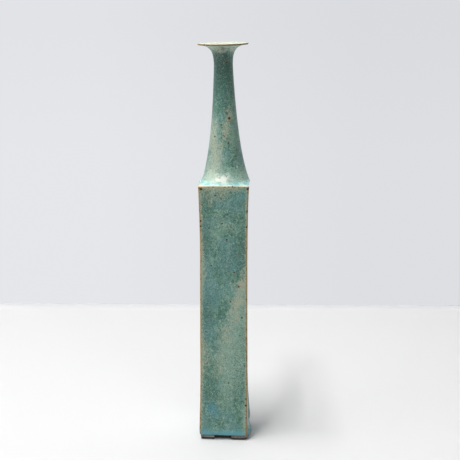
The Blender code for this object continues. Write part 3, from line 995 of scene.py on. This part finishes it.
class BOTTLE_OT_base(bpy.types.Operator):
    """Model the base slab let in between the walls, and give the inner coils their clay"""
    bl_idname = "bottle.base"
    bl_label = "Base and inner clay"

    def execute(self, context):
        sizes = context.scene.bottle_sizes
        reach = TOP_HALF - sizes.wall
        base = add_block("base", (-reach, -reach, WALL_LOW), (reach, reach, BASE_TOP))
        bpy.ops.object.mode_set(mode="EDIT")
        select_faces(base, lambda middle, normal: abs(normal.z) > 0.99)
        bpy.ops.mesh.inset(thickness=0.0006, depth=-0.0002)
        bpy.ops.mesh.select_all(action="SELECT")
        bpy.ops.mesh.subdivide(number_cuts=12)
        bpy.ops.object.mode_set(mode="OBJECT")
        move_points(base, settled)
        finish_piece(base, finish("dark_foot_clay"), "base_slab")
        for name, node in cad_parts.items():
            if "coil" in name:
                node.data.materials.clear()
                node.data.materials.append(finish("inner_clay"))
        return {"FINISHED"}


def lay_paper():
    """A sheet of paper under the bottle, and one that stands behind it and only throws light back."""
    low, back, height = 0.01, 0.345, 2.4
    paper = add_block("backdrop", (-4.0, -4.0, -low), (4.0, back, 0.0))
    bpy.ops.object.mode_set(mode="EDIT")
    select_faces(paper, lambda middle, normal: normal.z < 0.5)
    bpy.ops.mesh.delete(type="FACE")
    select_edges(paper, lambda a, b: near(a.y, back) and near(b.y, back))
    bpy.ops.mesh.extrude_region_move(TRANSFORM_OT_translate={"value": (0, 0, height)})
    select_edges(
        paper, lambda a, b: near(a.y, back) and near(b.y, back) and near(a.z, 0) and near(b.z, 0))
    bpy.ops.mesh.bevel(offset=0.006, segments=8, affect="EDGES")
    # The upright part is left out of the view, so that it hides nothing from behind.
    select_faces(paper, lambda middle, normal: middle.z > low)
    bpy.ops.mesh.separate(type="SELECTED")
    bpy.ops.object.mode_set(mode="OBJECT")
    reflector = [thing for thing in bpy.context.selected_objects if thing is not paper][0]
    reflector.name = "reflector"
    reflector.visible_camera = False
    make_active(paper)
    bpy.ops.object.shade_smooth_by_angle(angle=math.radians(30))

    board = NodeBoard(bpy.data.materials.new("backdrop_paper"))
    rise = board.parts(board.millimetres())[2]
    # Painted shade: the upright sheet is painted darker towards the top.
    wall = board.mix(board.fade(rise, 60.0, 360.0), (0.79, 0.80, 0.825), (0.69, 0.70, 0.72))
    shade = board.mix(board.fade(rise, 0.0, 6.0), (0.745, 0.74, 0.735), wall)
    board.finish(Base_Color=shade, Roughness=0.9)
    for sheet in (paper, reflector):
        sheet.data.materials.append(board.owner)


def light_room():
    """A dim room that is brighter at the left than at the right, with a pale grey wall to look at that is
    painted a little darker to the right and upwards as painted shade.
    """
    board = NodeBoard(bpy.data.worlds.new("studio"))
    nodes = board.tree.nodes
    direction = board.parts(board.put("ShaderNodeTexCoord").outputs["Generated"])
    room = nodes["Background"]
    board.feed(room.inputs["Color"], (0.98, 0.99, 1.0))
    board.feed(room.inputs["Strength"], board.fade(direction[0], -0.8, 0.3, 0.77, 0.08))
    # Painted shade: the wall seen behind the bottle darkens a little to the right and upwards.
    painted_shade_rightwards = board.fade(direction[0], -0.15, 0.11, 1.0, 0.925, kind="LINEAR")
    painted_shade_upwards = board.fade(direction[2], -0.15, -0.03, 1.0, 0.965, kind="LINEAR")
    wall = board.put("ShaderNodeBackground", (
        ("Color", (0.783, 0.795, 0.822)), ("Strength", board.times(painted_shade_rightwards, painted_shade_upwards))))
    seen = board.put("ShaderNodeLightPath").outputs["Is Camera Ray"]
    either = board.put("ShaderNodeMixShader", ((0, seen), (1, room.outputs[0]), (2, wall.outputs[0])))
    board.feed(nodes["World Output"].inputs["Surface"], either.outputs[0])
    bpy.context.scene.world = board.owner


def hang_lights():
    """A long strip overhead, a little left, which runs from the bottle towards the front; a weak soft
    panel at the left; and a wide one in front, a little right."""
    for name, place, aim, size, power in (
        ("overhead_strip", (-0.27, -0.30, 1.50), (-0.27, -0.30, 0.0), (0.07, 0.75), 17.6),
        ("left_panel", (-2.20, -0.90, 1.50), (0, 0, 0.15), (1.5, 1.5), 5.4),
        ("front_panel", (0.70, -2.55, 1.60), (0, 0, 0.15), (2.0, 1.4), 16.2),
    ):
        lamp = bpy.data.lights.new(name, "AREA")
        lamp.shape = "RECTANGLE"
        lamp.size, lamp.size_y = size
        lamp.energy = power
        holder = bpy.data.objects.new(name, lamp)
        holder.location = place
        if aim[:2] != place[:2]:
            holder.rotation_euler = (Vector(aim) - Vector(place)).to_track_quat("-Z", "Y").to_euler()
        bpy.context.scene.collection.objects.link(holder)


def set_camera():
    """The camera stands before the bottle and looks down at it a little."""
    distance, aside, height = 0.811, 0.0048, 0.3684
    azimuth, tilt = math.radians(1.1), math.radians(13.2)
    away = Vector((math.sin(azimuth), -math.cos(azimuth), 0))
    right = Vector((math.cos(azimuth), math.sin(azimuth), 0))
    lens = bpy.data.cameras.new("camera")
    lens.lens = 79.0
    lens.sensor_width = 36.0
    lens.clip_start = 0.01
    camera = bpy.data.objects.new("camera", lens)
    camera.location = away * distance + right * aside + Vector((0, 0, height))
    camera.rotation_euler = (math.pi / 2 - tilt, 0, azimuth)
    scene = bpy.context.scene
    scene.collection.objects.link(camera)
    scene.camera = camera
    scene.view_settings.view_transform = "Standard"


class BOTTLE_OT_stage(bpy.types.Operator):
    """Set up the pale floor and backdrop, the soft lights and the camera"""
    bl_idname = "bottle.stage"
    bl_label = "Stage"

    def execute(self, context):
        lay_paper()
        light_room()
        hang_lights()
        set_camera()
        return {"FINISHED"}


class BOTTLE_PT_panel(bpy.types.Panel):
    """The bottle's pieces and stage, in the sidebar of the 3D view"""
    bl_idname = "BOTTLE_PT_panel"
    bl_label = "Sake bottle"
    bl_space_type = "VIEW_3D"
    bl_region_type = "UI"
    bl_category = "Bottle"

    def draw(self, context):
        for operator in OPERATORS:
            self.layout.operator(operator.bl_idname)
        for group in (context.scene.bottle_sizes, context.scene.glaze_colours):
            for name in group.__annotations__:
                self.layout.prop(group, name)


OPERATORS = (
    BOTTLE_OT_walls, BOTTLE_OT_shoulder, BOTTLE_OT_neck, BOTTLE_OT_rim,
    BOTTLE_OT_feet, BOTTLE_OT_base, BOTTLE_OT_stage,
)
CLASSES = (BottleSizes, GlazeColours, *OPERATORS, BOTTLE_PT_panel)


def register():
    for each in CLASSES:
        bpy.utils.register_class(each)
    bpy.types.Scene.bottle_sizes = PointerProperty(type=BottleSizes)
    bpy.types.Scene.glaze_colours = PointerProperty(type=GlazeColours)


def unregister():
    del bpy.types.Scene.bottle_sizes
    del bpy.types.Scene.glaze_colours
    for each in reversed(CLASSES):
        bpy.utils.unregister_class(each)


def main():
    register()
    bpy.ops.bottle.walls()
    bpy.ops.bottle.shoulder()
    bpy.ops.bottle.neck()
    bpy.ops.bottle.rim()
    bpy.ops.bottle.feet()
    bpy.ops.bottle.base()
    bpy.ops.bottle.stage()
    bpy.context.view_layer.update()


if __name__ == "__main__":
    main()
